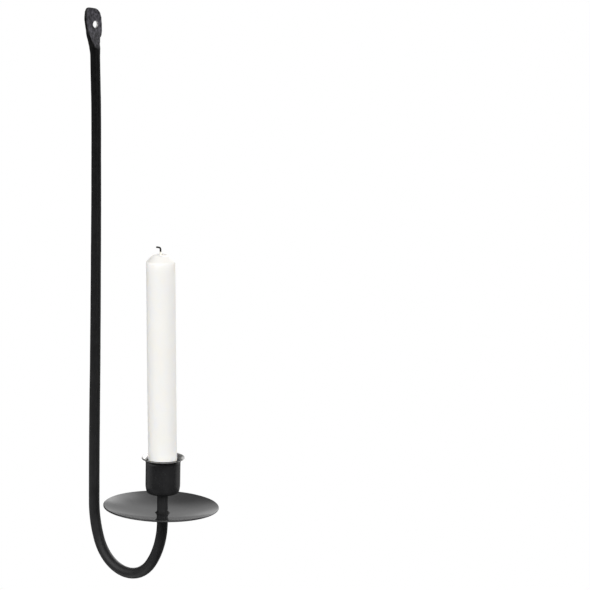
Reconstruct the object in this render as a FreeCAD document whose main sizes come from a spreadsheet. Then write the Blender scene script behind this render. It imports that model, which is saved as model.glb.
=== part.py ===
import FreeCAD, Part
import math
import os
import re

import Sketcher

# A hand-forged wall sconce: one round rod, drawn out a little towards the top and flattened
# there into an eye plate for the wall screw, runs down the wall, bends forward and up into a
# stem, and carries a dished drip pan and a drawn cup with a dinner candle.
# +Z is up, the wall is the plane Y = 0 and the front is -Y. The origin is the centre of the
# wall hole on the plate's back. Lengths are millimetres and angles are degrees.

SIZES = {
    # forged rod: bar, three bends (heel at the wall, bow at the bottom, toe at the front), stem
    "rod_dia": 8.5,
    "top_dia": 7.6,
    "sway": 2.2,
    "sway_drop": 95.0,
    "taper_drop": 300.0,
    "bar_drop": 374.6,
    "heel_radius": 75.4,
    "heel_turn": 23.2,
    "bow_radius": 33.2,
    "toe_radius": 59.9,
    "toe_turn": 36.0,
    "stem_top_drop": 352.6,
    "tap_dia": 4.1,
    "tap_depth": 12.0,
    # eye plate and the neck that joins it to the rod
    "plate_thickness": 2.2,
    "plate_top": 12.8,
    "plate_left": 9.9,
    "plate_right": 6.9,
    "plate_bottom": 15.0,
    "plate_corner": 1.6,
    "plate_edge": 0.5,
    "wall_hole_dia": 4.8,
    "neck_bottom": 23.0,
    "neck_middle": 16.0,
    "neck_middle_width": 10.0,
    "neck_middle_thickness": 5.8,
    "neck_middle_gap": 0.3,
    "neck_top": 6.0,
    "neck_top_width": 13.0,
    "neck_top_thickness": 2.0,
    # drip pan and its weld
    "pan_dia": 88.6,
    "pan_dish": 6.2,
    "pan_sheet": 1.2,
    "pan_edge": 0.4,
    "pan_drop": 368.6,
    "pan_tilt": 1.25,
    "pan_heading": -21.8,
    "hub_gap": 0.05,
    "bead_leg": 1.6,
    "bead_radius": 2.5,
    # candle cup
    "cup_dia": 26.6,
    "cup_height": 28.3,
    "cup_sheet": 1.0,
    "cup_corner": 2.4,
    "belly_radius": 19.4,
    "belly_turn": 16.0,
    "lip_radius": 4.0,
    "lip_turn": 78.0,
    "lip_edge": 0.4,
    "cup_hole_dia": 4.4,
    # screw and washer inside the cup
    "washer_dia": 9.0,
    "washer_bore": 4.3,
    "washer_thickness": 0.8,
    "screw_dia": 4.0,
    "screw_length": 10.0,
    "screw_point": 0.6,
    "head_dia": 7.8,
    "head_height": 2.4,
    "head_edge": 1.3,
    "recess_span": 4.2,
    "recess_width": 0.9,
    "recess_depth": 1.3,
    # candle
    "candle_dia": 22.0,
    "candle_shoulder": 174.1,
    "candle_foot": 0.8,
    "candle_lean": 1.2,
    "shoulder_radius": 2.6,
    "shoulder_turn": 45.0,
    "tip_radius": 3.0,
    "tip_across": 4.6,
    "wick_dia": 1.4,
    "wick_rise": 4.1,
    "curl_radius": 1.5,
    "curl_turn": 84.0,
    "curl_tail": 1.9,
    "curl_heading": 130.6,
}

# Lengths that follow from the driving ones.
DERIVED = {
    "reach": "heel_radius * (1 - cos(heel_turn)) + bow_radius * (cos(heel_turn) + cos(toe_turn))"
             " + toe_radius * (1 - cos(toe_turn))",
    "heel_drop": "bar_drop + heel_radius * sin(heel_turn)",
    "toe_drop": "heel_drop - bow_radius * (sin(heel_turn) - sin(toe_turn))",
    "toe_top": "toe_drop - toe_radius * sin(toe_turn)",
    "sway_middle": "(neck_bottom + sway_drop) / 2",
    "sway_radius": "((sway_drop - neck_bottom) ^ 2 + sway ^ 2) / (4 * sway)",
    "dish_sphere": "((pan_dia / 2) ^ 2 + pan_dish ^ 2) / (2 * pan_dish)",
    "belly_across": "cup_dia / 2 - belly_radius",
    "belly_top": "cup_corner * (1 - sin(belly_turn)) + belly_radius * sin(belly_turn)",
    "foot_across": "belly_across + (belly_radius - cup_corner) * cos(belly_turn)",
    "lip_foot": "cup_height - (lip_radius + cup_sheet) * sin(lip_turn)",
    "slope_low_across": "candle_dia / 2 - shoulder_radius * (1 - cos(shoulder_turn))",
    "slope_low_up": "candle_shoulder + shoulder_radius * sin(shoulder_turn)",
    "slope_top_across": "tip_across + tip_radius * cos(shoulder_turn)",
    "slope_top_up": "slope_low_up + (slope_low_across - slope_top_across) / tan(shoulder_turn)",
    "candle_top": "slope_top_up + tip_radius * (1 - sin(shoulder_turn))",
    # a leaning candle stands on the rounded edge of the screw's head, its middle just above it
    "foot_gap": "(head_dia / 2 - head_edge) * tan(candle_lean) + head_edge * (1 / cos(candle_lean) - 1)",
    "candle_drop": "stem_top_drop - cup_sheet - washer_thickness - head_height - foot_gap",
}

# The hammered plate's outline as shares of its reach to the left or right, and above or below
# the hole, clockwise from the foot's left corner as seen from the front.
PLATE_OUTLINE = [
    ("-0.68 * plate_left", "-plate_bottom"),
    ("-0.84 * plate_left", "-0.58 * plate_bottom"),
    ("-0.99 * plate_left", "0"),
    ("-plate_left", "0.50 * plate_top"),
    ("-0.90 * plate_left", "0.95 * plate_top"),
    ("-0.45 * plate_left", "plate_top"),
    ("0.25 * plate_right", "0.85 * plate_top"),
    ("0.75 * plate_right", "0.62 * plate_top"),
    ("0.98 * plate_right", "0.25 * plate_top"),
    ("plate_right", "-0.20 * plate_bottom"),
    ("0.93 * plate_right", "-0.60 * plate_bottom"),
    ("0.62 * plate_right", "-plate_bottom"),
]

SHEET = "Sizes"
FOLLOWERS = "Derived"
TINY = 1e-6

document = FreeCAD.newDocument("WallSconce")
sheet = document.addObject("Spreadsheet::Sheet", SHEET)
derived = document.addObject("App::VarSet", FOLLOWERS)


def cells(formula):
    """A formula in plain names, with each name pointed at its cell or derived length."""

    def address(match):
        name = match[0]
        if name in SIZES:
            return f"{SHEET}.{name}"
        return f"{FOLLOWERS}.{name}" if name in DERIVED else name

    return re.sub(r"[a-z_]+", address, formula)


def keep(name, formula):
    """Hold a length that follows from others, so that sketches and placements can use it."""
    derived.addProperty("App::PropertyFloat", name)
    derived.setExpression(name, cells(formula))


def fill_sheet():
    for row, (alias, value) in enumerate(SIZES.items(), start=1):
        sheet.set(f"A{row}", alias)
        sheet.set(f"B{row}", str(value))
        sheet.setAlias(f"B{row}", alias)
    document.recompute()
    for name, formula in DERIVED.items():
        keep(name, formula)
    keep("scratch", "0")
    document.recompute()


def worth(formula):
    """What a formula comes to now, for the first guess that a sketch is solved from."""
    derived.setExpression("scratch", cells(formula))
    derived.recompute()
    return derived.scratch


def make_body(label):
    return document.addObject("PartDesign::Body", label)


def make_sketch(body, name, role, raised="0"):
    """A sketch on the body's origin plane of that role, raised along the plane's normal."""
    sketch = body.newObject("Sketcher::SketchObject", name)
    plane = next(item for item in body.Origin.OriginFeatures if item.Role == role)
    sketch.AttachmentSupport = [(plane, "")]
    sketch.MapMode = "FlatFace"
    sketch.setExpression("AttachmentOffset.Base.z", cells(raised))
    return sketch


def bind(sketch, kind, *places, formula):
    """Add a dimension to a sketch and tie it to the sheet."""
    index = sketch.addConstraint(Sketcher.Constraint(kind, *places, worth(formula)))
    sketch.setExpression(f"Constraints[{index}]", cells(formula))


def pin_down(sketch, geometry, place, corner):
    """Dimension a point of a sketch from the sketch's origin."""
    for kind, formula in zip(("DistanceX", "DistanceY"), corner):
        bind(sketch, kind, geometry, place, formula=formula)


def bend_between(first, last, radius):
    """The shorter arc from one point to another, anticlockwise for a positive radius."""
    chord = last - first
    rise = math.sqrt(radius ** 2 - (chord.Length / 2) ** 2)
    inward = FreeCAD.Vector(-chord.y, chord.x, 0).normalize() * math.copysign(rise, radius)
    centre = first + chord / 2 + inward
    outward = ((first + last) / 2 - centre).normalize()
    return Part.Arc(first, centre + outward * abs(radius), last)


def draw(sketch, corners, bends=None, closed=True):
    """Join corners, each a pair of formulas, by lines. bends maps the number of a side to the
    formula of its radius, which is negative where the side turns clockwise."""
    bends = bends or {}
    points = [FreeCAD.Vector(worth(across), worth(up), 0) for across, up in corners]
    count = len(points) if closed else len(points) - 1
    ends = []
    for side in range(count):
        first = points[side]
        last = points[(side + 1) % len(points)]
        if side not in bends:
            sketch.addGeometry(Part.LineSegment(first, last), False)
            ends.append((1, 2))
            continue
        radius = worth(bends[side])
        curve = bend_between(first, last, radius)
        sketch.addGeometry(curve, False)
        ends.append((1, 2) if radius > 0 else (2, 1))
    for side in range(count):
        follower = (side + 1) % count
        if closed or follower:
            sketch.addConstraint(
                Sketcher.Constraint("Coincident", side, ends[side][1], follower, ends[follower][0])
            )
        pin_down(sketch, side, ends[side][0], corners[side])
        if side in bends:
            bind(sketch, "Radius", side, formula=bends[side].lstrip("-"))
    if not closed:
        pin_down(sketch, count - 1, ends[-1][1], corners[-1])


def draw_circle(sketch, diameter, across="0", up="0"):
    centre = FreeCAD.Vector(worth(across), worth(up), 0)
    upright = FreeCAD.Vector(0, 0, 1)
    sketch.addGeometry(Part.Circle(centre, upright, worth(diameter) / 2), False)
    bind(sketch, "Diameter", 0, formula=diameter)
    pin_down(sketch, 0, 3, (across, up))


def draw_oval(sketch, width, thickness, across, up):
    """An ellipse whose long axis lies across the sketch."""
    centre = FreeCAD.Vector(worth(across), worth(up), 0)
    long_end = centre + FreeCAD.Vector(worth(width) / 2, 0, 0)
    short_end = centre + FreeCAD.Vector(0, worth(thickness) / 2, 0)
    sketch.addGeometry(Part.Ellipse(long_end, short_end, centre), False)
    sketch.exposeInternalGeometry(0)
    long_axis = 1
    short_axis = 2
    sketch.addConstraint(Sketcher.Constraint("Horizontal", long_axis))
    bind(sketch, "Distance", long_axis, formula=width)
    bind(sketch, "Distance", short_axis, formula=thickness)
    pin_down(sketch, 0, 3, (across, up))


def revolve(body, name, corners, bends=None):
    """A full turn of an outline in the body's XZ plane about its Z axis."""
    sketch = make_sketch(body, f"{name}_outline", "XZ_Plane")
    draw(sketch, corners, bends)
    turn = body.newObject("PartDesign::Revolution", name)
    turn.Profile = sketch
    turn.ReferenceAxis = (sketch, ["V_Axis"])
    document.recompute()


def sweep(body, name, outline, route):
    """Carry an outline along every side of an open route."""
    pipe = body.newObject("PartDesign::AdditivePipe", name)
    pipe.Profile = outline
    pipe.Spine = (route, [f"Edge{number + 1}" for number in range(route.GeometryCount)])
    pipe.Refine = False
    document.recompute()


def cut(body, name, sketch, depth=None):
    """Pocket a sketch to a depth below it, or right through both ways, and see that it cuts."""
    before = body.Shape.Volume
    pocket = body.newObject("PartDesign::Pocket", name)
    pocket.Profile = sketch
    if depth:
        pocket.setExpression("Length", cells(depth))
    else:
        pocket.Type = "ThroughAll"
        pocket.Midplane = True
    document.recompute()
    if body.Shape.Volume > before - TINY:
        raise RuntimeError(f"{name} cuts nothing")


def round_off(body, name, radius, wanted):
    """Fillet the edges of the body for which wanted(edge) is true."""
    base = body.Tip
    names = [f"Edge{number}" for number, edge in enumerate(base.Shape.Edges, start=1) if wanted(edge)]
    fillet = body.newObject("PartDesign::Fillet", name)
    fillet.Base = (base, names)
    fillet.setExpression("Radius", cells(radius))
    document.recompute()


def on_ring(radius, up):
    """Whether an edge is a circle of that radius about the Z axis at that height."""

    def wanted(edge):
        middle = edge.valueAt((edge.FirstParameter + edge.LastParameter) / 2)
        reached = math.hypot(middle.x, middle.y)
        round_edge = isinstance(edge.Curve, Part.Circle)
        return round_edge and abs(reached - worth(radius)) < TINY and abs(middle.z - worth(up)) < TINY

    return wanted


def hang(body, drop):
    """Stand a body on the stem's axis, at a drop below the wall hole."""
    body.setExpression("Placement.Base.y", cells("-rod_dia / 2 - reach"))
    body.setExpression("Placement.Base.z", cells(f"-({drop})"))


def lean(body, heading, angle):
    """Turn a body to a heading and tip its axis that way."""
    turn = FreeCAD.Rotation(FreeCAD.Vector(0, 0, 1), worth(heading))
    tip = FreeCAD.Rotation(FreeCAD.Vector(0, 1, 0), worth(angle))
    body.Placement = FreeCAD.Placement(FreeCAD.Vector(), turn * tip)


def wall_arm():
    """Eye plate, neck and rod in one forging, with a tapped hole in the stem's end."""
    body = make_body("wall_arm")

    outline = make_sketch(body, "plate_outline", "XZ_Plane")
    draw(outline, PLATE_OUTLINE)
    plate = body.newObject("PartDesign::Pad", "plate")
    plate.Profile = outline
    plate.setExpression("Length", cells("plate_thickness"))
    document.recompute()

    thickness = worth("plate_thickness")
    round_off(
        body, "plate_corners", "plate_corner",
        lambda edge: abs(edge.BoundBox.YLength - thickness) < TINY and edge.BoundBox.XLength < TINY,
    )
    round_off(
        body, "plate_edges", "plate_edge",
        lambda edge: edge.BoundBox.YMax < -thickness + TINY,
    )

    hole = make_sketch(body, "wall_hole_outline", "XZ_Plane")
    draw_circle(hole, "wall_hole_dia")
    cut(body, "wall_hole", hole)

    axis = "-rod_dia / 2"
    rod_end = make_sketch(body, "rod_end", "XY_Plane", "-neck_bottom")
    draw_circle(rod_end, "top_dia", "-sway", axis)
    neck_middle = make_sketch(body, "neck_middle", "XY_Plane", "-neck_middle")
    draw_oval(neck_middle, "neck_middle_width", "neck_middle_thickness",
              "-sway", "-neck_middle_gap - neck_middle_thickness / 2")
    neck_top = make_sketch(body, "neck_top", "XY_Plane", "-neck_top")
    draw_oval(neck_top, "neck_top_width", "neck_top_thickness",
              "-sway", "-plate_thickness / 2")
    neck = body.newObject("PartDesign::AdditiveLoft", "neck")
    neck.Profile = rod_end
    neck.Sections = [neck_middle, neck_top]
    neck.Refine = False
    document.recompute()

    sway_route = make_sketch(body, "sway_route", "XZ_Plane", "rod_dia / 2")
    corners = [("-sway", "-neck_bottom"), ("-sway / 2", "-sway_middle"), ("0", "-sway_drop")]
    draw(sway_route, corners, {0: "sway_radius", 1: "-sway_radius"}, closed=False)
    sweep(body, "bar_top", rod_end, sway_route)

    thin_end = make_sketch(body, "thin_end", "XY_Plane", "-sway_drop")
    draw_circle(thin_end, "top_dia", up=axis)
    thick_end = make_sketch(body, "thick_end", "XY_Plane", "-taper_drop")
    draw_circle(thick_end, "rod_dia", up=axis)
    taper = body.newObject("PartDesign::AdditiveLoft", "bar_taper")
    taper.Profile = thin_end
    taper.Sections = [thick_end]
    taper.Refine = False
    document.recompute()

    hook_route = make_sketch(body, "hook_route", "YZ_Plane")
    corners = [
        (axis, "-taper_drop"),
        (axis, "-bar_drop"),
        (f"{axis} - heel_radius * (1 - cos(heel_turn))", "-heel_drop"),
        (f"{axis} - reach + toe_radius * (1 - cos(toe_turn))", "-toe_drop"),
        (f"{axis} - reach", "-toe_top"),
        (f"{axis} - reach", "-stem_top_drop"),
    ]
    draw(hook_route, corners, {1: "-heel_radius", 2: "-bow_radius", 3: "-toe_radius"}, closed=False)
    sweep(body, "hook", thick_end, hook_route)

    tap = make_sketch(body, "tap_outline", "XY_Plane", "-stem_top_drop")
    draw_circle(tap, "tap_dia", up=f"{axis} - reach")
    cut(body, "tap", tap, "tap_depth")
    return body


def dish(across):
    """Height of the pan's top face over its middle, as a formula of the distance from the axis."""
    return f"dish_sphere - sqrt(dish_sphere ^ 2 - ({across}) ^ 2)"


def underside(across):
    return f"dish_sphere - sqrt((dish_sphere + pan_sheet) ^ 2 - ({across}) ^ 2)"


def drip_pan():
    """A shallow dished disc that the stem passes through, a little out of level."""
    body = make_body("drip_pan")
    hub = "(rod_dia / 2 + hub_gap)"
    corners = [
        (hub, dish(hub)),
        (hub, underside(hub)),
        ("pan_dia / 2", underside("pan_dia / 2")),
        ("pan_dia / 2", "pan_dish"),
    ]
    revolve(body, "pan", corners, {1: "dish_sphere + pan_sheet", 3: "-dish_sphere"})
    rim_corners = (corners[2], corners[3])
    round_off(
        body, "pan_rim", "pan_edge",
        lambda edge: any(on_ring(*corner)(edge) for corner in rim_corners),
    )
    lean(body, "pan_heading", "pan_tilt")
    hang(body, "pan_drop")
    return body


def pan_weld():
    """The weld bead in the corner between the stem and the pan."""
    body = make_body("pan_weld")
    inner = "(rod_dia / 2 + hub_gap)"
    outer = f"({inner} + bead_leg)"
    corners = [
        (inner, dish(inner)),
        (outer, dish(outer)),
        (inner, f"{dish(inner)} + bead_leg"),
    ]
    revolve(body, "bead", corners, {1: "-bead_radius"})
    lean(body, "pan_heading", "pan_tilt")
    hang(body, "pan_drop")
    return body


def candle_cup():
    """A drawn cup with a rounded bottom and a flared lip, standing on the stem's end."""
    body = make_body("candle_cup")
    outside = "cup_dia / 2"
    inside = "cup_dia / 2 - cup_sheet"
    lip_across = "cup_dia / 2 + lip_radius"

    def belly(radius):
        return (f"belly_across + ({radius}) * cos(belly_turn)", f"belly_top - ({radius}) * sin(belly_turn)")

    corners = [
        ("cup_hole_dia / 2", "0"),
        ("foot_across", "0"),
        belly("belly_radius"),
        (outside, "belly_top"),
        (outside, "lip_foot"),
        (f"{lip_across} - lip_radius * cos(lip_turn)", "lip_foot + lip_radius * sin(lip_turn)"),
        (f"{lip_across} - (lip_radius + cup_sheet) * cos(lip_turn)", "cup_height"),
        (inside, "lip_foot"),
        (inside, "belly_top"),
        belly("belly_radius - cup_sheet"),
        ("foot_across", "cup_sheet"),
        ("cup_hole_dia / 2", "cup_sheet"),
    ]
    bends = {
        1: "cup_corner",
        2: "belly_radius",
        4: "-lip_radius",
        6: "lip_radius + cup_sheet",
        8: "-(belly_radius - cup_sheet)",
        9: "-(cup_corner - cup_sheet)",
    }
    revolve(body, "cup", corners, bends)
    lip_corners = (corners[5], corners[6])
    round_off(
        body, "lip_edges", "lip_edge",
        lambda edge: any(on_ring(*corner)(edge) for corner in lip_corners),
    )
    hang(body, "stem_top_drop")
    return body


def cup_washer():
    body = make_body("cup_washer")
    inner = "washer_bore / 2"
    outer = "washer_dia / 2"
    top = "washer_thickness"
    revolve(body, "washer", [(inner, "0"), (outer, "0"), (outer, top), (inner, top)])
    hang(body, "stem_top_drop - cup_sheet")
    return body


def cup_screw():
    """A pan-head screw with a cross recess, from inside the cup into the stem."""
    body = make_body("cup_screw")
    shank = "screw_dia / 2"
    head = "head_dia / 2"
    corners = [
        ("0", "-screw_length"),
        (f"{shank} - screw_point", "-screw_length"),
        (shank, "-screw_length + screw_point"),
        (shank, "0"),
        (head, "0"),
        (head, "head_height - head_edge"),
        (f"{head} - head_edge", "head_height"),
        ("0", "head_height"),
    ]
    revolve(body, "screw", corners, {5: "head_edge"})

    long_arm = "recess_span / 2"
    half_width = "recess_width / 2"
    quarter = [(half_width, long_arm), (half_width, half_width), (long_arm, half_width)]
    recess = []
    for _ in range(4):
        recess += quarter
        quarter = [(up, f"-({across})") for across, up in quarter]
    cross = make_sketch(body, "recess_outline", "XY_Plane", "head_height")
    draw(cross, recess)
    cut(body, "recess", cross, "recess_depth")
    hang(body, "stem_top_drop - cup_sheet - washer_thickness")
    return body


def candle_wax():
    """A straight candle with a sloping shoulder, pierced by its wick and standing on the screw."""
    body = make_body("candle_wax")
    bore = "wick_dia / 2"
    side = "candle_dia / 2"
    corners = [
        (bore, "0"),
        (f"{side} - candle_foot", "0"),
        (side, "candle_foot"),
        (side, "candle_shoulder"),
        ("slope_low_across", "slope_low_up"),
        ("slope_top_across", "slope_top_up"),
        ("tip_across", "candle_top"),
        (bore, "candle_top"),
    ]
    revolve(body, "wax", corners, {1: "candle_foot", 3: "shoulder_radius", 5: "tip_radius"})
    lean(body, "curl_heading", "candle_lean")
    hang(body, "candle_drop")
    return body


def candle_wick():
    """A cotton wick from the candle's foot to a curl above its crown."""
    body = make_body("candle_wick")
    foot = make_sketch(body, "wick_foot", "XY_Plane")
    draw_circle(foot, "wick_dia")
    route = make_sketch(body, "wick_route", "XZ_Plane")
    straight = "candle_top + wick_rise"
    curl_across = "curl_radius * (1 - cos(curl_turn))"
    curl_up = f"{straight} + curl_radius * sin(curl_turn)"
    corners = [
        ("0", "0"),
        ("0", straight),
        (curl_across, curl_up),
        (f"{curl_across} + curl_tail * sin(curl_turn)", f"{curl_up} + curl_tail * cos(curl_turn)"),
    ]
    draw(route, corners, {1: "-curl_radius"}, closed=False)
    sweep(body, "strand", foot, route)
    lean(body, "curl_heading", "candle_lean")
    hang(body, "candle_drop")
    return body


def check_document():
    for item in document.Objects:
        if "Invalid" in item.State or "Error" in item.State:
            raise RuntimeError(f"{item.Name} did not recompute: {item.State}")


def write_steps(bodies):
    os.makedirs("parts", exist_ok=True)
    for body in bodies:
        if body.Shape.isNull() or not body.Shape.isValid():
            raise RuntimeError(f"{body.Label} has no sound shape")
        body.Shape.exportStep(os.path.join("parts", f"{body.Label}.step"))
        box = body.Shape.optimalBoundingBox()
        print(f"{body.Label}: {len(body.Shape.Solids)} solid, {body.Shape.Volume:.0f} mm3,"
              f" x {box.XMin:.1f} {box.XMax:.1f}, y {box.YMin:.1f} {box.YMax:.1f},"
              f" z {box.ZMin:.1f} {box.ZMax:.1f}")


fill_sheet()
pieces = [
    wall_arm(),
    drip_pan(),
    pan_weld(),
    candle_cup(),
    cup_washer(),
    cup_screw(),
    candle_wax(),
    candle_wick(),
]
document.recompute()
check_document()
write_steps(pieces)
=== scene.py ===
import math
import random

import bpy
import numpy as np
from mathutils import Matrix, Vector, noise


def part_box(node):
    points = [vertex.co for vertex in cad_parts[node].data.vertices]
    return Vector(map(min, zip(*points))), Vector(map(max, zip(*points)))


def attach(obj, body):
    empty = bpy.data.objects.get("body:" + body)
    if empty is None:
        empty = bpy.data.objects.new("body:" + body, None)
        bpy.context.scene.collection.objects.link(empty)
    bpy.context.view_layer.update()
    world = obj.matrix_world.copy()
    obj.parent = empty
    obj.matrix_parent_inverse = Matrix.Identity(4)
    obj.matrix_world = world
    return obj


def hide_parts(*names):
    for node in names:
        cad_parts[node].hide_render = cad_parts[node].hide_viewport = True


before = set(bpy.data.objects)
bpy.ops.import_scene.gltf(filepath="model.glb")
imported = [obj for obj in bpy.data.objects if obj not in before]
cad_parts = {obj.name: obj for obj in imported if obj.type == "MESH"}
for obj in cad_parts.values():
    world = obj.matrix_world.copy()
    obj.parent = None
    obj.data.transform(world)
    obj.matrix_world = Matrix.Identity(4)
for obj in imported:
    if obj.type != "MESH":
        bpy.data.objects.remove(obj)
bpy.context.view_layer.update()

# A forged wall sconce with a drip pan, a flared cup and a white candle. Lengths below are
# millimetres and angles degrees; MM turns them into Blender's metres.
MM = 0.001

ROD_DIA = 8.5
TOP_DIA = 7.6
TAPER_START = 95.0
TAPER_END = 300.0
HEEL_RADIUS = 75.4
HEEL_TURN = 23.2
BOW_RADIUS = 33.2
TOE_RADIUS = 59.9
TOE_TURN = 36.0
BAR_DROP = 374.6
TAP_DIA = 4.1
TAP_DEPTH = 12.0
NECK_BOTTOM = 23.0
HOLE_DIA = 4.8
PAN_DIA = 88.6
PAN_DISH = 6.2
PAN_DROP = 16.0
PAN_TILT = 1.25
PAN_HEADING = -21.8
PAN_OFF_CENTRE = (-0.78, 0.91)
HUB_GAP = 0.05
PAN_SHEET = 1.2
BEAD_LEG = 1.6
CUP_DIA = 26.6
CUP_HEIGHT = 28.3
CUP_SHEET = 1.0
CUP_CORNER = 2.4
BELLY_RADIUS = 19.4
BELLY_TURN = 16.0
CUP_HOLE = 4.4
LIP_RADIUS = 4.0
LIP_TURN = 78.0
HEAD_DIA = 7.8
HEAD_EDGE = 1.3
CANDLE_DIA = 22.0
CANDLE_SHOULDER = 174.1
CANDLE_LEAN = 1.2
CANDLE_HEADING = 130.6
SHOULDER_RADIUS = 2.6
TIP_RADIUS = 3.0
TIP_ACROSS = 4.6
WICK_DIA = 1.4
WICK_RISE = 4.1
CURL_RADIUS = 1.5
CURL_TURN = 84.0
CURL_TAIL = 1.9
# Edges that turn by more than this are shaded sharp.
SHARP_ANGLE = 40.0

cup_low, cup_high = (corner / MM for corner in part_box("candle_cup"))
screw_low, screw_high = (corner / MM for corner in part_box("cup_screw"))
stem_y = (cup_low.y + cup_high.y) / 2
stem_top = cup_low.z
pan_top = stem_top - PAN_DROP


def sin(degrees):
    return math.sin(math.radians(degrees))


def cos(degrees):
    return math.cos(math.radians(degrees))


def tan(degrees):
    return math.tan(math.radians(degrees))


# ---------------------------------------------------------------- mesh building

def add_piece(name, points, faces, body, node, material):
    """A mesh piece of millimetre points that stands for a CAD node and rides on its body."""
    mesh = bpy.data.meshes.new(name)
    mesh.from_pydata([tuple(p) for p in np.asarray(points, float) * MM], [], faces)
    mesh.validate()
    mesh.update()
    mesh.polygons.foreach_set("use_smooth", [True] * len(mesh.polygons))
    mesh.set_sharp_from_angle(angle=math.radians(SHARP_ANGLE))
    mesh.materials.append(material)
    piece = bpy.data.objects.new(name, mesh)
    bpy.context.scene.collection.objects.link(piece)
    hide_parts(node)
    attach(piece, body)
    return piece


def ring_faces(rings, across, loop=False):
    """Quads between neighbouring rings of points, each ring closed on itself."""
    faces = []
    for ring in range(rings if loop else rings - 1):
        low = ring * across
        high = (ring + 1) % rings * across
        for k in range(across):
            after = (k + 1) % across
            faces.append((low + k, low + after, high + after, high + k))
    return faces


def zip_cap(first, across, flip):
    """Closes a ring with strips from its front half to its back half."""
    faces = []
    quarter = across // 4
    for k in range(-quarter, quarter):
        corners = [k, k + 1, across // 2 - k - 1, across // 2 - k]
        corners = [first + corner % across for corner in corners]
        corners = list(dict.fromkeys(corners))
        faces.append(tuple(reversed(corners)) if flip else tuple(corners))
    return faces


def arc(centre, radius, start, end, count):
    """Points (across, up) on an arc, both ends included."""
    return [
        (centre[0] + radius * cos(a), centre[1] + radius * sin(a))
        for a in np.linspace(start, end, count)
    ]


def runs(points, spacing):
    """Adds points along the straight runs of an outline so that none is longer than spacing."""
    filled = []
    for here, there in zip(points, points[1:] + points[:1]):
        steps = max(1, math.ceil(math.dist(here, there) / spacing))
        for step in range(steps):
            share = step / steps
            filled.append(tuple(a + (b - a) * share for a, b in zip(here, there)))
    return filled


def turned(profile, around, waver=None):
    """A closed profile of (across, up) turned about the Z axis. waver(angle, across, up) gives
    a small (outward, upward) shift to each point."""
    points = []
    for k in range(around):
        angle = 2 * math.pi * k / around
        for across, up in profile:
            shift = waver(angle, across, up) if waver else (0, 0)
            reach = across + shift[0]
            points.append((reach * math.cos(angle), reach * math.sin(angle), up + shift[1]))
    return np.array(points), ring_faces(around, len(profile), loop=True)


# ---------------------------------------------------------------- materials

def add_node(tree, kind, settings=None, **inputs):
    """A node with its settings and inputs. An input named _3 is socket number 3, and another
    input's underscores are spaces. A value that is a socket is linked to the input."""
    node = tree.nodes.new(kind)
    for name, value in (settings or {}).items():
        setattr(node, name, value)
    for name, value in inputs.items():
        socket = node.inputs[int(name[1:]) if name[1:].isdigit() else name.replace("_", " ")]
        if isinstance(value, bpy.types.NodeSocket):
            tree.links.new(value, socket)
        else:
            socket.default_value = value
    return node


class Nodes:
    """A short way to wire a material's nodes."""

    def __init__(self, name):
        self.material = bpy.data.materials.new(name)
        self.material.use_nodes = True
        self.tree = self.material.node_tree
        self.shader = self.tree.nodes["Principled BSDF"]
        coordinates = self.tree.nodes.new("ShaderNodeTexCoord")
        self.place = coordinates.outputs["Object"]
        self.outward = coordinates.outputs["Normal"]

    def add(self, kind, settings=None, **inputs):
        return add_node(self.tree, kind, settings, **inputs)

    def axis(self, vector, letter):
        return self.add("ShaderNodeSeparateXYZ", Vector=vector).outputs[letter]

    def stretched(self, scale):
        return self.add("ShaderNodeMapping", Vector=self.place, Scale=scale).outputs[0]

    def noise(self, scale, detail=3.0, roughness=0.55, place=None):
        node = self.add("ShaderNodeTexNoise", Vector=place or self.place, Scale=scale,
                        Detail=detail, Roughness=roughness)
        return node.outputs["Fac"]

    def spread(self, value, low, high, from_low=0.3, from_high=0.7):
        node = self.add("ShaderNodeMapRange", _0=value, _1=from_low, _2=from_high, _3=low, _4=high)
        return node.outputs[0]

    def blend(self, share, first, second):
        node = self.add("ShaderNodeMix", {"data_type": "RGBA"}, _0=share, _6=first, _7=second)
        return node.outputs[2]

    def maths(self, operation, first, second):
        return self.add("ShaderNodeMath", {"operation": operation}, _0=first, _1=second).outputs[0]

    def set(self, name, value):
        self.shader.inputs[name].default_value = value

    def link(self, name, value):
        self.tree.links.new(value, self.shader.inputs[name])

    def bump(self, height, strength, distance):
        node = self.add("ShaderNodeBump", Height=height, Strength=strength, Distance=distance)
        self.link("Normal", node.outputs[0])


# Violet oxidised steel in streaks on the hammered face, whose light tone is partly painted sheen; bright
# steel where the lacquer is worn through, also used for a painted highlight on the cup's lip.
VIOLET_DARK = (0.012, 0.0117, 0.0135, 1)
VIOLET_SHEEN_LIGHT = (0.095, 0.091, 0.106, 1)
BARE_STEEL_AND_HIGHLIGHT = (0.62, 0.61, 0.60, 1)


def grey(level):
    return (level, level, level * 1.04, 1)


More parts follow.
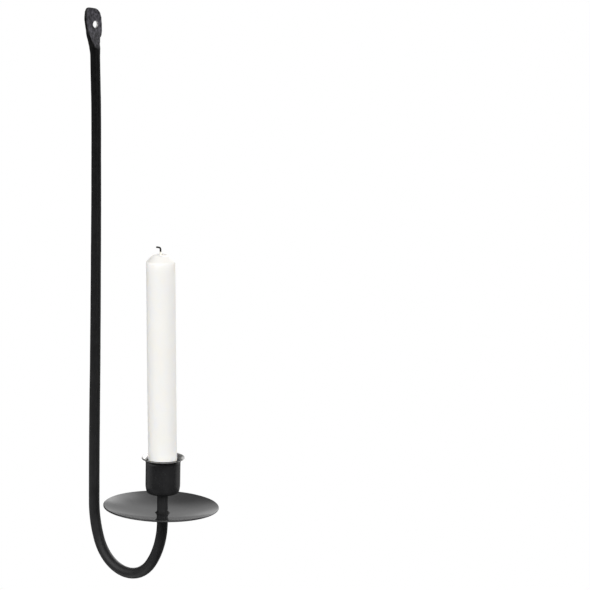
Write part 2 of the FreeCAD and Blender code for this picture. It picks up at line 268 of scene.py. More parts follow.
def forged_wear_and_painted_light(nodes, colour):
    """Painted shade that darkens the lacquer towards the top of the arm, violet streaks on the
    hammered face whose light tone is partly painted sheen, and bright steel where the lacquer is worn
    through round the wall hole. Heights here are metres."""
    height = nodes.axis(nodes.place, "Z")
    # Painted shade: the colour darkens towards the top of the arm.
    arm_top_shade = nodes.spread(height, 0.0, 1.0, -0.40, -0.05)
    colour = nodes.blend(arm_top_shade, colour, grey(0.001))
    # Painted sheen on the plate's flat front face, mixed with real violet streaks: the face is lighter than
    # the rest of the arm.
    facing = nodes.axis(nodes.outward, "Y")
    face = nodes.maths("MULTIPLY", nodes.spread(facing, 0.0, 1.0, -0.88, -0.97),
                       nodes.spread(height, 0.0, 1.0, -0.0185, -0.0145))
    streaks = nodes.noise(560.0, 6.0, 0.72, place=nodes.stretched((1.0, 1.0, 0.5)))
    streaks_and_sheen = nodes.blend(nodes.spread(streaks, 0.0, 1.0, 0.39, 0.62), VIOLET_DARK, VIOLET_SHEEN_LIGHT)
    colour = nodes.blend(face, colour, streaks_and_sheen)
    flat = nodes.add("ShaderNodeVectorMath", {"operation": "MULTIPLY"}, _0=nodes.place, _1=(1, 0, 1))
    away = nodes.add("ShaderNodeVectorMath", {"operation": "LENGTH"}, _0=flat.outputs[0])
    ragged = nodes.maths("ADD", away.outputs["Value"],
                         nodes.spread(nodes.noise(1200.0, 2.0), -0.0002, 0.0002))
    worn = nodes.spread(ragged, 1.0, 0.0, 0.0025, 0.00285)
    nodes.link("Metallic", worn)
    return nodes.blend(worn, colour, BARE_STEEL_AND_HIGHLIGHT)


def upward_painted_highlight(nodes, colour, highlight_above):
    """Bright steel colour and metal on the upward faces above a height in metres: a painted highlight that
    stands in for the lacquer's reflection there.
    """
    # This mask is a painted highlight: bright steel on the upward faces.
    painted_highlight = nodes.maths("MULTIPLY", nodes.spread(nodes.axis(nodes.outward, "Z"), 0.0, 0.85, 0.25, 0.7),
                       nodes.spread(nodes.axis(nodes.place, "Z"), 0.0, 1.0, highlight_above, highlight_above + 0.001))
    painted_highlight = nodes.maths("MULTIPLY", painted_highlight, nodes.spread(nodes.noise(800.0, 3.0), 0.7, 1.0))
    nodes.link("Metallic", painted_highlight)
    return nodes.blend(painted_highlight, colour, BARE_STEEL_AND_HIGHLIGHT)


def lacquer(name, dark, light, rough_low, rough_high, peel, shine=0.5, forged=False,
            highlight_above=None):
    """Satin black lacquer: uneven gloss, fine orange peel and a little grit in the film."""
    nodes = Nodes(name)
    nodes.set("Specular IOR Level", shine)
    cloud = nodes.noise(90.0, 4.0)
    specks = nodes.noise(2600.0, 2.0)
    tone = nodes.maths("ADD", nodes.spread(cloud, 0.0, 0.7), nodes.spread(specks, 0.0, 0.3))
    colour = nodes.blend(tone, grey(dark), grey(light))
    if forged:
        colour = forged_wear_and_painted_light(nodes, colour)
    if highlight_above is not None:
        colour = upward_painted_highlight(nodes, colour, highlight_above)
    nodes.link("Base Color", colour)
    gloss = nodes.maths("ADD", nodes.spread(nodes.noise(220.0, 3.0), rough_low, rough_high),
                        nodes.spread(specks, -0.03, 0.03))
    nodes.link("Roughness", gloss)
    grain = nodes.maths("ADD", nodes.noise(700.0, 2.0), nodes.maths("MULTIPLY", specks, 0.5))
    nodes.bump(grain, peel, 0.0001)
    return nodes.material


def zinc_plating():
    nodes = Nodes("zinc_plating")
    nodes.set("Metallic", 1.0)
    brushed = nodes.noise(1500.0, 3.0, place=nodes.stretched((1.0, 1.0, 5.0)))
    cloud = nodes.noise(320.0, 4.0)
    nodes.link("Base Color", nodes.blend(nodes.spread(cloud, 0.0, 1.0),
                                         (0.50, 0.52, 0.55, 1), (0.66, 0.66, 0.62, 1)))
    nodes.link("Roughness", nodes.spread(brushed, 0.24, 0.42))
    nodes.bump(brushed, 0.25, 0.00005)
    return nodes.material


def paraffin():
    nodes = Nodes("paraffin")
    cloud = nodes.noise(40.0, 4.0, place=nodes.stretched((1.0, 1.0, 0.35)))
    clean = nodes.blend(nodes.spread(cloud, 0.0, 1.0),
                        (0.87, 0.862, 0.838, 1), (0.885, 0.877, 0.853, 1))
    # Painted shade: the wax is greyer on its upward faces, so the shoulder and top are darker.
    wax_top_shade = nodes.spread(nodes.axis(nodes.outward, "Z"), 0.0, 1.0, 0.05, 0.65)
    nodes.link("Base Color", nodes.blend(wax_top_shade, clean, (0.68, 0.67, 0.65, 1)))
    nodes.link("Roughness", nodes.spread(nodes.noise(160.0, 3.0), 0.38, 0.52))
    nodes.set("Subsurface Weight", 1.0)
    nodes.set("Subsurface Radius", (1.0, 0.95, 0.85))
    nodes.set("Subsurface Scale", 0.008)
    nodes.set("IOR", 1.44)
    frost = nodes.maths("ADD", nodes.noise(900.0, 3.0), nodes.noise(140.0, 2.0))
    nodes.bump(frost, 0.12, 0.0002)
    return nodes.material


def cotton(char_start, char_end):
    """Waxed cotton that turns to char between two heights, in metres up the candle."""
    nodes = Nodes("cotton_wick")
    ragged = nodes.spread(nodes.noise(1500.0, 3.0), -0.0004, 0.0004)
    height = nodes.maths("ADD", nodes.axis(nodes.place, "Z"), ragged)
    char = nodes.spread(height, 0.0, 1.0, char_start, char_end)
    fibres = nodes.noise(5200.0, 2.0, place=nodes.stretched((1.0, 1.0, 0.3)))
    clean = nodes.blend(fibres, (0.74, 0.69, 0.58, 1), (0.90, 0.88, 0.80, 1))
    burnt = nodes.blend(fibres, (0.006, 0.006, 0.006, 1), (0.022, 0.019, 0.017, 1))
    nodes.link("Base Color", nodes.blend(char, clean, burnt))
    nodes.link("Roughness", nodes.spread(fibres, 0.7, 0.95))
    nodes.bump(fibres, 0.5, 0.00008)
    return nodes.material


black_forged = lacquer("black_lacquer_forged", 0.014, 0.024, 0.34, 0.46, 0.30, shine=0.22,
                       forged=True)
black_weld = lacquer("black_lacquer_weld", 0.003, 0.006, 0.62, 0.74, 0.30, shine=0.15)
black_pan = lacquer("black_lacquer_pan", 0.010, 0.018, 0.09, 0.15, 0.06)
# The cup's lip gets a painted highlight, bright steel on its upward faces near the rim.
black_cup = lacquer("black_lacquer_cup", 0.013, 0.021, 0.20, 0.28, 0.12,
                    highlight_above=(stem_top + CUP_HEIGHT - LIP_RADIUS) * MM)


# ---------------------------------------------------------------- forged arm

# Points round the bar, and steps along the rod and the plate.
AROUND = 128
ROD_STEP = 1.25
PLATE_STEP = 0.3
PLATE_RIM = 0.75
TOP_BULGE = 0.7
CHAMFER = 0.35
HAMMER_SEED = 11
BLOWS = 110
BLOW_REACH = (1.3, 2.7)
BLOW_DEPTH = (0.06, 0.22)
GROOVE_DEPTH = 0.07
GRAIN_DEPTH = 0.045
EDGE_GRAIN_DEPTH = 0.16
FILED_OFF = 0.02
# The bar and plate lie behind this depth and the stem in front of it.
BAR_FRONT = -30.0
# Edges of the hammered plate and neck, from the top down to the round rod: (x, z). The upper
# points are program-made measurements at an even 2.3 mm, which is more than the shape needs.
LEFT_EDGE = [(-8.5, 11.8), (-9.45, 10.0), (-9.9, 7.7), (-10.1, 5.4), (-10.0, 3.1), (-9.6, 0.8), (-9.2, -1.4),
             (-8.7, -3.7), (-8.45, -6.0), (-8.1, -8.6), (-7.65, -10.6), (-7.2, -12.9), (-6.95, -15.0),
             (-6.7, -17.3), (-6.4, -20.0), (-6.0, -NECK_BOTTOM)]
RIGHT_EDGE = [(3.6, 10.3), (4.9, 9.1), (5.95, 7.4), (6.8, 5.2), (7.0, 3.1), (7.2, 0.8), (7.3, -1.4),
              (7.05, -3.7), (6.4, -6.0), (5.4, -8.3), (3.5, -10.4), (2.7, -12.8), (1.95, -15.0),
              (1.8, -17.3), (1.7, -20.0), (1.6, -NECK_BOTTOM)]
# How the section changes down the neck: height, depth from the wall to the flat face, share of
# the depth at which it is widest, gap to the wall, and how far the rounded sides reach in from
# the left and right edges: front left, front right, back left, back right.
NECK = [
    (13.0, 2.2, 0.55, 0.0, 1.9, 0.7, 0.5, 0.5),
    (0.0, 2.3, 0.55, 0.0, 1.9, 0.7, 0.5, 0.5),
    (-3.0, 2.6, 0.56, 0.0, 1.7, 0.7, 0.6, 0.6),
    (-6.0, 3.5, 0.56, 0.0, 1.3, 0.9, 0.7, 0.8),
    (-9.0, 4.6, 0.55, 0.0, 0.8, 1.3, 1.0, 1.2),
    (-12.9, 6.1, 0.52, 0.05, 1.0, 2.2, 2.0, 2.0),
    (-16.7, 7.5, 0.52, 0.2, 2.2, 3.0, 3.3, 3.2),
    (-19.0, 7.95, 0.525, 0.35, 3.8, 3.7, 3.6, 3.6),
    (-NECK_BOTTOM, 8.05, 0.528, 0.45, 3.8, 3.8, 3.8, 3.8),
]
# The bar isn't quite straight: (height, sideways shift of its axis). Program-made measurements
# as well, rounded.
SWAY = [(-NECK_BOTTOM, -2.2), (-34.0, -1.8), (-46.0, -1.35), (-58.0, -0.88), (-71.0, -0.62), (-90.0, -0.42),
        (-110.0, -0.27), (-135.0, -0.05), (-160.0, 0.0), (-255.0, 0.0), (-290.0, -0.22), (-330.0, -0.32),
        (-365.0, -0.2), (-390.0, 0.0), (-500.0, 0.0)]


def smooth_line(points, shares):
    """Points along a Catmull-Rom line through the given points, by share of its length."""
    line = np.array(points, float)
    padded = np.vstack([2 * line[0] - line[1], line, 2 * line[-1] - line[-2]])
    dense = []
    for k in range(1, len(padded) - 2):
        a, b, c, d = padded[k - 1:k + 3]
        for t in np.linspace(0, 1, 40, endpoint=False):
            dense.append(0.5 * (2 * b + (c - a) * t + (2 * a - 5 * b + 4 * c - d) * t ** 2
                                + (3 * b - a - 3 * c + d) * t ** 3))
    dense = np.array(dense + [line[-1]])
    along = np.concatenate([[0], np.cumsum(np.linalg.norm(np.diff(dense, axis=0), axis=1))])
    wanted = np.asarray(shares) * along[-1]
    return np.column_stack([np.interp(wanted, along, dense[:, axis]) for axis in range(dense.shape[1])])


def section(left, right, depth, belly, gap, reaches):
    """Evenly spaced points (x, y) round a flattened bar, from the middle of its flat face and
    clockwise from above. Its rings run downwards, and so their faces look outwards."""
    front_left, front_right, back_left, back_right = reaches
    widest = -gap - (depth - gap) * belly

    def side(x, y, reach, rise, start, end):
        turns = np.radians(np.linspace(start, end, 24))
        return np.column_stack([x + reach * np.cos(turns), y + rise * np.sin(turns)])

    middle = (left + front_left + right - front_right) / 2
    front_rise = depth + widest
    back_rise = -gap - widest
    outline = np.vstack([
        [(middle, -depth)],
        side(right - front_right, widest, front_right, front_rise, -90, 0),
        side(right - back_right, widest, back_right, back_rise, 0, 90),
        side(left + back_left, widest, back_left, back_rise, 90, 180),
        side(left + front_left, widest, front_left, front_rise, 180, 270),
        [(middle, -depth)],
    ])
    along = np.concatenate([[0], np.cumsum(np.linalg.norm(np.diff(outline, axis=0), axis=1))])
    wanted = np.arange(AROUND) / AROUND * along[-1]
    points = np.column_stack([np.interp(wanted, along, outline[:, axis]) for axis in (0, 1)])
    return np.roll(points[::-1], 1, axis=0)


def plate_rings():
    """Rings of points from the plate's top edge down to the round rod."""
    count = int((NECK_BOTTOM + 11) / PLATE_STEP)
    shares = np.linspace(0, 1, count)
    left = smooth_line(LEFT_EDGE, shares)
    right = smooth_line(RIGHT_EDGE, shares)
    neck = smooth_line(sorted(NECK), np.linspace(0, 1, 400))
    rings = []
    for k, share in enumerate(shares):
        height = (left[k, 1] + right[k, 1]) / 2
        depth, belly, gap, *reaches = [np.interp(height, neck[:, 0], neck[:, c]) for c in range(1, 8)]
        bulge = TOP_BULGE * max(0.0, 1 - share * 4.5) ** 2
        rims = [(0, 0)]
        if k == 0:
            rims = [(PLATE_RIM * (1 - cos(a)), PLATE_RIM * sin(a)) for a in (90, 68, 45, 22, 0)]
        for inset, rise in rims:
            points = section(left[k, 0] + inset, right[k, 0] - inset, depth - inset, belly, gap + inset,
                             [max(reach - inset, 0.12) for reach in reaches])
            across = (points[:, 0] - left[k, 0]) / (right[k, 0] - left[k, 0])
            crown = bulge * (1 - (2 * across - 1) ** 4) + rise * (1 - (2 * across - 1) ** 6)
            up = left[k, 1] + across * (right[k, 1] - left[k, 1]) + crown
            rings.append(np.column_stack([points, up]))
    return rings


def rod_radius(height):
    return np.interp(height, [-TAPER_END, -TAPER_START], [ROD_DIA / 2, TOP_DIA / 2])


def rod_line():
    """Centres and outward directions down the bar, round the hook and up the stem."""
    arcs = [(HEEL_RADIUS, HEEL_TURN), (BOW_RADIUS, 180 - HEEL_TURN - TOE_TURN), (TOE_RADIUS, TOE_TURN)]
    y, z, turn = -ROD_DIA / 2, -BAR_DROP, 0.0
    steps = int((BAR_DROP - NECK_BOTTOM) / ROD_STEP)
    line = [(y, -NECK_BOTTOM - (BAR_DROP - NECK_BOTTOM) * k / steps, 0.0) for k in range(1, steps + 1)]
    for radius, sweep in arcs:
        centre_y = y - radius * cos(turn)
        centre_z = z + radius * sin(turn)
        steps = int(math.radians(sweep) * radius / ROD_STEP)
        for k in range(1, steps + 1):
            now = turn + sweep * k / steps
            line.append((centre_y + radius * cos(now), centre_z - radius * sin(now), now))
        y, z, turn = line[-1]
    steps = int((stem_top - z) / ROD_STEP)
    line += [(y, z + (stem_top - z) * k / steps, 180.0) for k in range(1, steps)]
    return line


def forged_arm():
    rings = plate_rings()
    circle = section(-1, 1, 2, 0.5, 0, (1, 1, 1, 1)) + (0, 1)
    sway = smooth_line(sorted(SWAY), np.linspace(0, 1, 900))

    def rod_ring(y, z, turn, radius):
        shift = np.interp(z, sway[:, 0], sway[:, 1]) if y > BAR_FRONT else 0.0
        ring = circle * radius
        return np.column_stack([shift + ring[:, 0], y + ring[:, 1] * cos(turn), z - ring[:, 1] * sin(turn)])

    line = rod_line()
    rings += [rod_ring(y, z, turn, rod_radius(z)) for y, z, turn in line]
    end_y = line[-1][0]
    tap = TAP_DIA / 2
    for drop, radius in [(CHAMFER, ROD_DIA / 2), (0, ROD_DIA / 2 - CHAMFER), (0, tap + CHAMFER),
                         (CHAMFER, tap), (TAP_DEPTH / 2, tap), (TAP_DEPTH, tap)]:
        rings.append(rod_ring(end_y, stem_top - drop, 180.0, radius))
    points = np.vstack(rings)
    faces = ring_faces(len(rings), AROUND)
    faces += zip_cap(0, AROUND, flip=True)
    faces += zip_cap((len(rings) - 1) * AROUND, AROUND, flip=False)
    piece = add_piece("forged_arm", points, faces, "holder", "wall_arm", black_forged)
    hammer(piece.data)
    drill(piece)
    return piece


def hammer(mesh):
    """Dents the plate's front with overlapping hammer blows and leaves the rod a little uneven."""
    draw = random.Random(HAMMER_SEED)
    blows = [
        (draw.uniform(-10.5, 6.5), draw.uniform(-17.0, 13.0),
         draw.uniform(*BLOW_REACH), draw.uniform(*BLOW_DEPTH))
        for _ in range(BLOWS)
    ]
    count = len(mesh.vertices)
    places = np.zeros(count * 3)
    normals = np.zeros(count * 3)
    mesh.vertices.foreach_get("co", places)
    mesh.vertex_normals.foreach_get("vector", normals)
    places = places.reshape(-1, 3) / MM
    normals = normals.reshape(-1, 3)
    sunk = np.zeros(count)
    for x, z, reach, depth in blows:
        away = (places[:, 0] - x) ** 2 + (places[:, 2] - z) ** 2
        sunk = np.maximum(sunk, depth * (1 - away / reach ** 2))
    height = places[:, 2]
    on_bar = places[:, 1] > BAR_FRONT
    on_plate = on_bar & (height > -22)
    facing = np.clip(-normals[:, 1], 0, 1) * on_plate
    fade = np.clip((height + 21) / 5, 0, 1)
    drawn = np.exp(-((height + 10.5) / 5.0) ** 2)
    sunk = sunk * facing * fade
    sunk += facing * drawn * GROOVE_DEPTH * (1 + np.sin(places[:, 0] * 2.6 + 0.25 * np.sin(height * 0.9)))
    grain = np.array([
        noise.noise(Vector((x * 0.22, y * 0.22, z * 0.10)))
        + 0.5 * noise.noise(Vector((x * 0.6, y * 0.6, z * 0.3)))
        for x, y, z in places
    ])
    edges = np.clip(np.abs(normals[:, 0]), 0, 1) * on_plate * (height > -19)
    uneven = GRAIN_DEPTH + EDGE_GRAIN_DEPTH * edges
    moved = places + normals * (grain * uneven - sunk - FILED_OFF)[:, None]
    moved[:, 1] = np.where(on_bar, np.minimum(moved[:, 1], 0), moved[:, 1])
    mesh.vertices.foreach_set("co", (moved * MM).ravel())
    mesh.update()


def drill(piece):
    """Cuts the wall hole, which the punch broke out wider at the back, by a turned cutter."""
    half = HOLE_DIA / 2
    profile = [(half + 2.0, 1.0), (half + 1.0, 0.02), (half + 0.3, -0.8), (half + 0.05, -1.35), (half, -1.7),
               (half + 0.02, -2.0), (half + 0.15, -2.25), (half + 1.0, -3.2)]
    around = 48
    points = [
        (r * cos(360 * k / around), y, r * sin(360 * k / around))
        for r, y in profile for k in range(around)
    ]
    faces = ring_faces(len(profile), around)
    faces.append(tuple(reversed(range(around))))
    faces.append(tuple(range((len(profile) - 1) * around, len(profile) * around)))
    mesh = bpy.data.meshes.new("cutter")
    mesh.from_pydata([tuple(p) for p in np.array(points) * MM], [], faces)
    mesh.update()
    cutter = bpy.data.objects.new("cutter", mesh)
    bpy.context.scene.collection.objects.link(cutter)
    modifier = piece.modifiers.new("wall_hole", "BOOLEAN")
    modifier.operation = "DIFFERENCE"
    modifier.solver = "EXACT"
    modifier.object = cutter
    bpy.context.view_layer.update()
    evaluated = piece.evaluated_get(bpy.context.evaluated_depsgraph_get())
    drilled = bpy.data.meshes.new_from_object(evaluated)
    piece.modifiers.clear()
    piece.data = drilled
    drilled.set_sharp_from_angle(angle=math.radians(SHARP_ANGLE))
    bpy.data.objects.remove(cutter)


# ---------------------------------------------------------------- turned pieces

pan_place = (
    Matrix.Translation(Vector((0, stem_y, pan_top)) * MM)
    @ Matrix.Rotation(math.radians(PAN_HEADING), 4, "Z")
    @ Matrix.Rotation(math.radians(PAN_TILT), 4, "Y")
    @ Matrix.Rotation(math.radians(-PAN_HEADING), 4, "Z")
)
pan_sphere = ((PAN_DIA / 2) ** 2 + PAN_DISH ** 2) / (2 * PAN_DISH)


def pan():
    def dish(across, radius):
        return pan_sphere - math.sqrt(radius ** 2 - across ** 2)

    edge = PAN_SHEET / 2
    outer = PAN_DIA / 2 - edge
    inner = ROD_DIA / 2 + HUB_GAP
    across = np.linspace(inner, outer, 36)
    tilt = math.degrees(math.asin(outer / pan_sphere))
    middle = (dish(outer, pan_sphere) + dish(outer, pan_sphere + PAN_SHEET)) / 2
    top = [(r, dish(r, pan_sphere)) for r in across]
    bottom = [(r, dish(r, pan_sphere + PAN_SHEET)) for r in reversed(across)]
    rim = arc((outer, middle), edge, 78 + tilt, -78 + tilt, 11)

    def waver(angle, reach, up):
        share = (reach / outer) ** 2
        spot = Vector((reach * math.cos(angle) * 0.05, reach * math.sin(angle) * 0.05, 3.7))
        return (0.0, share * 0.10 * noise.noise(spot))

    points, faces = turned(top + rim + bottom, 256, waver)
    share = np.clip((np.hypot(points[:, 0], points[:, 1]) - inner) / (outer - inner), 0, 1)
    points[:, :2] += (share ** 2 * (3 - 2 * share))[:, None] * np.array(PAN_OFF_CENTRE)
    piece = add_piece("dished_pan", points, faces, "holder", "drip_pan", black_pan)
    piece.matrix_world = pan_place
    return piece


def weld():
    inner = ROD_DIA / 2 + HUB_GAP
    foot = pan_sphere - math.sqrt(pan_sphere ** 2 - inner ** 2) + 0.02
    slope = [
        (inner + BEAD_LEG * (1 - share), foot + BEAD_LEG * share - 0.45 * math.sin(math.pi * share))
        for share in np.linspace(0, 1, 10)
    ]
    ripples = 23

    def waver(angle, reach, up):
        lift = max(0.0, min(1.0, (reach - inner) / 0.4, (up - foot) / 0.4 + 0.3))
        beat = abs(math.sin(ripples * angle / 2)) - 0.6
        return (0.10 * beat * lift, 0.05 * beat * lift)

    points, faces = turned([(inner, foot)] + list(reversed(slope))[:-1] + [slope[0]], 184, waver)
    piece = add_piece("weld_bead", points, faces, "holder", "pan_weld", black_weld)
    piece.matrix_world = pan_place
    return piece


def cup():
    outer = CUP_DIA / 2
    lip_foot = CUP_HEIGHT - (LIP_RADIUS + CUP_SHEET) * sin(LIP_TURN)
    hub = (outer + LIP_RADIUS, lip_foot)
    edge = CUP_SHEET / 2
    mid_radius = LIP_RADIUS + edge
    end = 180 - LIP_TURN
    nose_hub = (hub[0] + mid_radius * cos(end), hub[1] + mid_radius * sin(end))
    spacing = 3.5
    belly_across = outer - BELLY_RADIUS
    belly_top = CUP_CORNER * (1 - sin(BELLY_TURN)) + BELLY_RADIUS * sin(BELLY_TURN)
    foot_across = belly_across + (BELLY_RADIUS - CUP_CORNER) * cos(BELLY_TURN)
    belly = (belly_across, belly_top)
    profile = (
        [(CUP_HOLE / 2, 0.0), (foot_across, 0.0)]
        + arc((foot_across, CUP_CORNER), CUP_CORNER, -90, -BELLY_TURN, 9)[1:]
        + arc(belly, BELLY_RADIUS, -BELLY_TURN, 0, 8)[1:]
        + arc(hub, LIP_RADIUS, 180, end, 16)
        + arc(nose_hub, edge, end + 180, end, 9)[1:-1]
        + arc(hub, LIP_RADIUS + CUP_SHEET, end, 180, 16)
        + arc(belly, BELLY_RADIUS - CUP_SHEET, 0, -BELLY_TURN, 8)
        + arc((foot_across, CUP_CORNER), CUP_CORNER - CUP_SHEET, -BELLY_TURN, -90, 7)[1:]
        + [(CUP_HOLE / 2, CUP_SHEET)]
    )
    profile = list(reversed(runs(profile, spacing)))
    points, faces = turned(profile, 192)
    points += (0, stem_y, stem_top)
    return add_piece("flared_cup", points, faces, "holder", "candle_cup", black_cup)


# ---------------------------------------------------------------- candle

HALF_TURN = 45.0
low_across = CANDLE_DIA / 2 - SHOULDER_RADIUS * (1 - cos(HALF_TURN))
low_up = CANDLE_SHOULDER + SHOULDER_RADIUS * sin(HALF_TURN)
high_across = TIP_ACROSS + TIP_RADIUS * cos(HALF_TURN)
high_up = low_up + (low_across - high_across) / tan(HALF_TURN)
candle_top = high_up + TIP_RADIUS * (1 - sin(HALF_TURN))
foot_gap = (HEAD_DIA / 2 - HEAD_EDGE) * tan(CANDLE_LEAN) + HEAD_EDGE * (1 / cos(CANDLE_LEAN) - 1)
candle_place = (
    Matrix.Translation(Vector((0, stem_y, screw_high.z + foot_gap)) * MM)
    @ Matrix.Rotation(math.radians(CANDLE_HEADING), 4, "Z")
    @ Matrix.Rotation(math.radians(CANDLE_LEAN), 4, "Y")
)


def put_candle_piece(name, points, faces, node, material):
    piece = add_piece(name, points, faces, "candle", node, material)
    piece.matrix_world = candle_place
    bpy.context.view_layer.update()
    return piece


def wax():
    bore = WICK_DIA / 2
    side = CANDLE_DIA / 2
    foot = 0.8
    dip = 0.35
    rounded = 1.4
    profile = (
        [(bore, 0.0), (side - foot, 0.0)]
        + arc((side - foot, foot), foot, -90, 0, 6)[1:]
        + arc((side - SHOULDER_RADIUS, CANDLE_SHOULDER), SHOULDER_RADIUS, 0, HALF_TURN, 9)
        + arc((TIP_ACROSS, candle_top - TIP_RADIUS), TIP_RADIUS, HALF_TURN, 90, 9)
        + [(bore + rounded, candle_top - 0.04), (bore + rounded / 2, candle_top - dip / 2),
           (bore, candle_top - dip)]
    )
    profile = runs(profile, 4.0)

    def waver(angle, across, up):
        spot = Vector((across * math.cos(angle) * 0.09, across * math.sin(angle) * 0.09, up * 0.02))
        share = min(1.0, max(0.0, (across - 1.0) / 6))
        lift = 0.09 * share * noise.noise(spot * 2.3 + Vector((4.1, 0, 0))) if up > CANDLE_SHOULDER else 0
        return (0.07 * share * (noise.noise(spot) - 0.3), lift)

    points, faces = turned(list(reversed(profile)), 144, waver)
    return put_candle_piece("dinner_candle", points, faces, "candle_wax", paraffin())


def wick():
    """A braid of three plies, straight up the candle and curled over its charred tip."""
    straight = candle_top + WICK_RISE
    hidden = np.arange(0.0, candle_top - 3, 3.0)
    shown = np.arange(candle_top - 3, straight, 0.12)
    line = [(0.0, up, 0.0) for up in np.concatenate([hidden, shown])]
    for turn in np.linspace(0, CURL_TURN, 22):
        line.append((CURL_RADIUS * (1 - cos(turn)), straight + CURL_RADIUS * sin(turn), turn))
    bend_x, bend_z, _ = line[-1]
    tail = CURL_TAIL - WICK_DIA / 4
    for share in np.linspace(0, 1, 14)[1:]:
        line.append((bend_x + tail * share * sin(CURL_TURN), bend_z + tail * share * cos(CURL_TURN),
                     CURL_TURN))
    around = 36
    length = 0.0
    radius = WICK_DIA / 2
    points = []
    rings = []
    for k, (x, z, turn) in enumerate(line):
        if k:
            length += math.dist(line[k - 1][:2], (x, z))
        rings.append((x, z, turn, length, 1.0))
    x, z, turn, length, _ = rings[-1]
    for a in (25, 45, 62, 78):
        step = radius * 0.7 * sin(a)
        rings.append((x + step * sin(turn), z + step * cos(turn), turn, length + step, cos(a)))
    for x, z, turn, length, share in rings:
        char = min(1.0, max(0.0, (length - candle_top - 2.0) / 1.5))
        for k in range(around):
            angle = 360 * k / around
            lobe = (0.09 * abs(cos(1.5 * angle + length * 110))
                    + 0.07 * abs(cos(1.5 * angle - length * 110)))
            rough = 0.05 * char * noise.noise(Vector((cos(angle) * 2, sin(angle) * 2, length * 2.1)))
            reach = share * radius * (0.82 + lobe + rough)
            across = reach * cos(angle)
            points.append((x + across * cos(turn), reach * sin(angle), z - across * sin(turn)))
    faces = ring_faces(len(rings), around)
    faces += zip_cap(0, around, flip=True)
    faces += zip_cap((len(rings) - 1) * around, around, flip=False)
    fibre = cotton((candle_top + 1.9) * MM, (candle_top + 2.6) * MM)
    return put_candle_piece("braided_wick", points, faces, "candle_wick", fibre)


forged_arm()
pan()
weld()
cup()
wax()
wick()

zinc = zinc_plating()
for name in ("cup_washer", "cup_screw"):
    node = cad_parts[name]
    node.data.materials.clear()
    node.data.materials.append(zinc)


# ---------------------------------------------------------------- camera, light and floor

CAMERA_AIM = (0.0, -0.0001, 0.0)
CAMERA_AZIMUTH = -45.944
CAMERA_HEIGHT = 15.922
CAMERA_DISTANCE = 1.700
CAMERA_YAW = -49.372
CAMERA_PITCH = 10.219
CAMERA_ROLL = 1.308
CAMERA_LENS = 134.31


def make_camera():
    aim = Vector((0, stem_y, pan_top)) * MM + Vector(CAMERA_AIM)
    back = Vector((sin(CAMERA_AZIMUTH) * cos(CAMERA_HEIGHT), -cos(CAMERA_AZIMUTH) * cos(CAMERA_HEIGHT),
                   sin(CAMERA_HEIGHT)))
    data = bpy.data.cameras.new("camera")
    data.lens = CAMERA_LENS
    data.sensor_width = 36.0
    data.clip_start = 0.05
    data.clip_end = 500.0
    camera = bpy.data.objects.new("camera", data)
    bpy.context.scene.collection.objects.link(camera)
    turn = (Matrix.Rotation(math.radians(CAMERA_YAW), 4, "Z")
            @ Matrix.Rotation(math.radians(90 - CAMERA_PITCH), 4, "X")
            @ Matrix.Rotation(math.radians(CAMERA_ROLL), 4, "Z"))
    camera.matrix_world = Matrix.Translation(aim + back * CAMERA_DISTANCE) @ turn
    bpy.context.scene.camera = camera


# Soft studio light from all round: (azimuth, elevation, half width, strength). Azimuth 0 is the
# wall's front (-Y) and 90 is +X. Most of the strengths are a least-squares solver's, rounded and
# some of them changed; they aren't a rig that a lighting artist chose.
LIGHTS = [
    (-10, 35, 42, 4.3),
    (-82, 35, 42, 2.2),
    (-118, 35, 42, 2.2),
    (-118, -65, 45, 1.0),
    (60, 6, 27, 1.2),
    (110, 50, 27, 0.6),
    (-154, -35, 42, 0.5),
    (98, -35, 42, 0.45),
    (62, 35, 42, 0.36),
    (-46, 35, 42, 0.3),
    (84, 28, 27, 2.0),
    (112, 22, 15, 4.0),
    (112, 34, 15, 2.1),
    (112, 12, 15, 1.3),
    (108, 28, 27, 0.4),
    (134, 6, 27, 0.42),
    (134, -6, 27, 0.18),
    (148, 2, 15, 0.85),
    (148, 12, 15, 0.35),
    (121, 2, 15, 0.4),
    (130, 22, 15, 0.35),
    (135, 34, 20, 0.35),
]
AMBIENT = 0.02


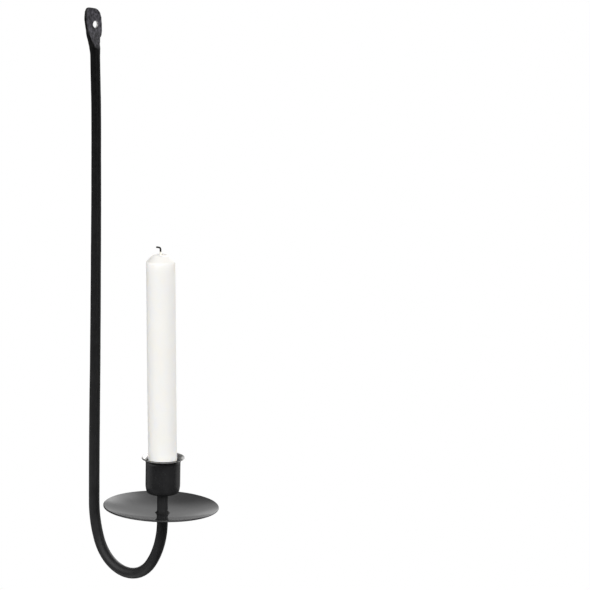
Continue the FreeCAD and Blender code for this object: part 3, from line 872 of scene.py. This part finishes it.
def make_world():
    world = bpy.data.worlds.new("studio")
    bpy.context.scene.world = world
    world.use_nodes = True
    tree = world.node_tree
    tree.nodes.clear()

    def add(kind, settings=None, **inputs):
        return add_node(tree, kind, settings, **inputs)

    direction = add("ShaderNodeTexCoord").outputs["Generated"]
    total = add("ShaderNodeValue").outputs[0]
    total.default_value = AMBIENT
    for azimuth, elevation, width, strength in LIGHTS:
        towards = (sin(azimuth) * cos(elevation), -cos(azimuth) * cos(elevation), sin(elevation))
        near = add("ShaderNodeVectorMath", {"operation": "DOT_PRODUCT"}, _0=direction, _1=towards)
        glow = add("ShaderNodeMapRange", {"interpolation_type": "SMOOTHSTEP"}, _0=near.outputs["Value"],
                   _1=cos(width), _2=1.0, _3=0.0, _4=strength)
        total = add("ShaderNodeMath", {"operation": "ADD"}, _0=total, _1=glow.outputs[0]).outputs[0]
    studio = add("ShaderNodeBackground", Strength=total)
    backdrop = add("ShaderNodeBackground", Color=(1, 1, 1, 1), Strength=1.0)
    seen = add("ShaderNodeLightPath").outputs["Is Camera Ray"]
    mix = add("ShaderNodeMixShader", _0=seen, _1=studio.outputs[0], _2=backdrop.outputs[0])
    add("ShaderNodeOutputWorld", Surface=mix.outputs[0])


def make_floor():
    """A wide pale floor, evenly lit, well below the sconce."""
    reach = 120.0
    level = -2.2
    mesh = bpy.data.meshes.new("floor")
    mesh.from_pydata([(-reach, -reach, level), (reach, -reach, level), (reach, reach, level),
                      (-reach, reach, level)], [], [(0, 1, 2, 3)])
    material = bpy.data.materials.new("pale_floor")
    material.use_nodes = True
    shader = material.node_tree.nodes["Principled BSDF"]
    shader.inputs["Base Color"].default_value = (0.0, 0.0, 0.0, 1)
    shader.inputs["Specular IOR Level"].default_value = 0.0
    shader.inputs["Emission Color"].default_value = (1, 1, 1, 1)
    shader.inputs["Emission Strength"].default_value = 1.0
    mesh.materials.append(material)
    floor = bpy.data.objects.new("floor", mesh)
    bpy.context.scene.collection.objects.link(floor)
    floor.visible_diffuse = False
    floor.visible_glossy = False
    floor.visible_shadow = False


make_camera()
make_world()
make_floor()
bpy.context.scene.view_settings.view_transform = "Standard"
